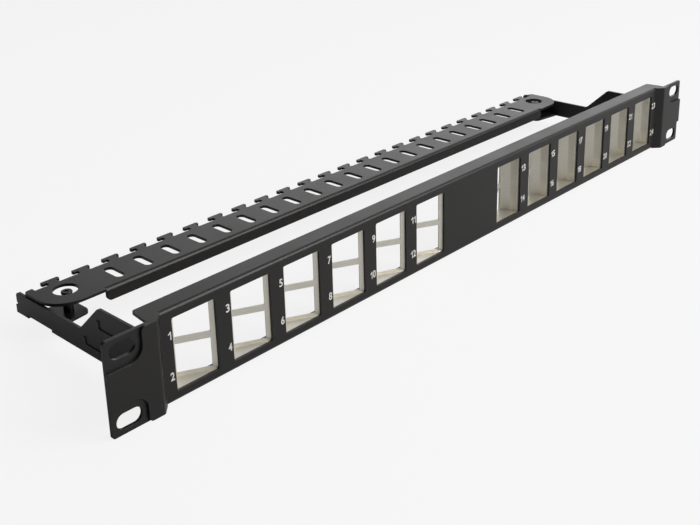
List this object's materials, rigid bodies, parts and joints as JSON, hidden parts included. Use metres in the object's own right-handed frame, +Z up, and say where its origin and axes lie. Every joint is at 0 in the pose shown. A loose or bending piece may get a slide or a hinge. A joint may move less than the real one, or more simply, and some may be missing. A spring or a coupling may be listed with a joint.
{
  "type": "keystone patch panel",
  "caption": "Rack-mount keystone patch panel with ports on angled plates behind a set-back face, and a rear cable tie bar on two arms.",
  "frame": {"origin": "centre of the four rack slots, in the plane where the panel's ears lie on the rack flanges", "axes": "+X along the panel to the right as seen from the front, +Y to the rear, +Z up"},
  "size_m": [0.4826, 0.1158, 0.0436],
  "materials": {
    "powder_coat": "satin",
    "nickel_sheet": "satin",
    "zinc_fastener": "satin"
  },
  "bodies": {
    "root": {"front_panel": "powder_coat", "arm_bracket_left": "powder_coat", "arm_bracket_right": "powder_coat", "cable_bar": "powder_coat", "port_carrier_01_02": "nickel_sheet", "port_carrier_03_04": "nickel_sheet", "port_carrier_05_06": "nickel_sheet", "port_carrier_07_08": "nickel_sheet", "port_carrier_09_10": "nickel_sheet", "port_carrier_11_12": "nickel_sheet", "port_carrier_13_14": "nickel_sheet", "port_carrier_15_16": "nickel_sheet", "port_carrier_17_18": "nickel_sheet", "port_carrier_19_20": "nickel_sheet", "port_carrier_21_22": "nickel_sheet", "port_carrier_23_24": "nickel_sheet", "bar_post_left": "zinc_fastener", "bar_post_right": "zinc_fastener", "bar_screw_left": "zinc_fastener", "bar_screw_right": "zinc_fastener"}
  },
  "joints": []
}
